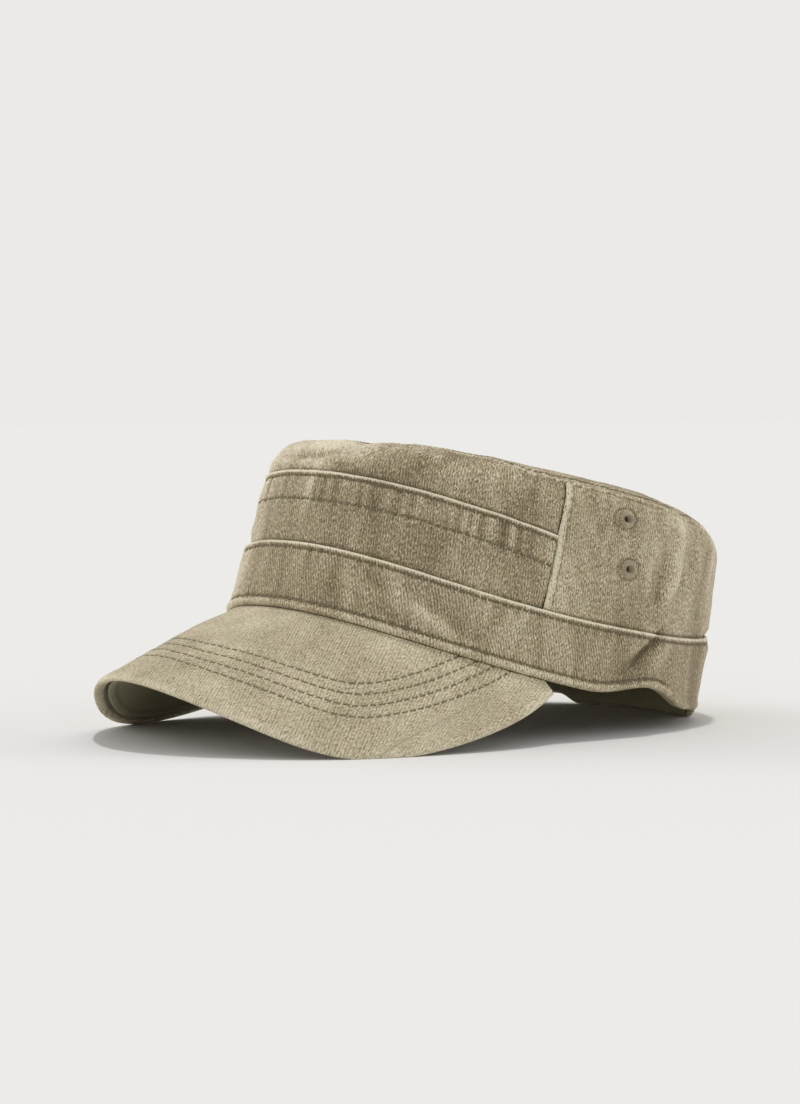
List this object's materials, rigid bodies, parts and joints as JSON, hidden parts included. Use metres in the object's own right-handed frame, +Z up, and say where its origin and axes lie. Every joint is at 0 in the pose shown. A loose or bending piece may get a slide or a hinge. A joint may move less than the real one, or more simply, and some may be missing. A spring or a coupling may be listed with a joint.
{
  "type": "flat-top painter cap",
  "caption": "Flat-topped cloth cap with a wide folded band, a tucked front, stitched air holes and a curved stitched peak; open hollow for the head.",
  "frame": {"origin": "middle of the resting cap's footprint box, on the floor", "axes": "+Z up, -Y the way the peak points, +X the wearer's left"},
  "size_m": [0.1722, 0.2714, 0.1134],
  "materials": {
    "crown_cloth": "washed khaki cotton twill",
    "band_cloth": "washed khaki cotton twill, band",
    "peak_cloth": "washed khaki cotton twill over a board, a little lighter",
    "inner_cloth": "plain dark olive cotton",
    "thread": "khaki sewing thread, wound tightly"
  },
  "bodies": {
    "root": {"top_panel": "crown_cloth", "front_upper_panel": "crown_cloth", "front_lower_panel": "crown_cloth", "rear_panel": "crown_cloth", "band": "band_cloth", "sweatband": "inner_cloth", "peak_cover": "peak_cloth", "peak_lining": "inner_cloth", "eyelet_left_upper": "thread", "eyelet_left_lower": "thread", "eyelet_right_upper": "thread", "eyelet_right_lower": "thread"}
  },
  "joints": []
}
